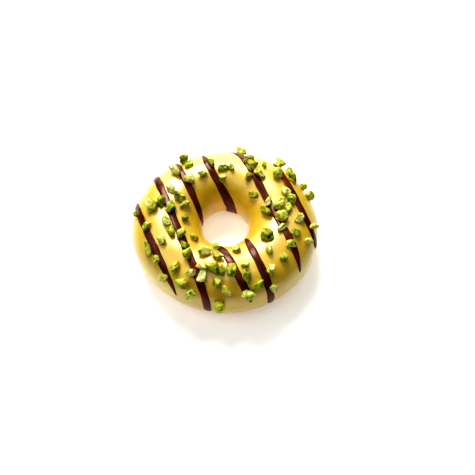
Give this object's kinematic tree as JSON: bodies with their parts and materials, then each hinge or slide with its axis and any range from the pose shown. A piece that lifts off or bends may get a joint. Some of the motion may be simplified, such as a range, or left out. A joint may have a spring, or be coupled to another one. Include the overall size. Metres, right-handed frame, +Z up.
{
  "type": "iced ring doughnut",
  "caption": "Ring doughnut dipped in glossy yellow icing, with diagonal lines of chocolate drizzle and chopped pistachio pieces on top.",
  "frame": {"origin": "on the surface that the doughnut rests on, under the middle of its hole", "axes": "+Z up through the hole, +X to the right and -Y towards the viewer of the picture"},
  "size_m": [0.0891, 0.0886, 0.0308],
  "materials": {
    "dough": "matt fried crust",
    "icing": "smooth set icing with a soft gloss",
    "chocolate": "glossy dark chocolate",
    "pistachio": "matt chopped nut"
  },
  "bodies": {
    "root": {"dough": "dough", "icing": "icing"}
  },
  "joints": []
}
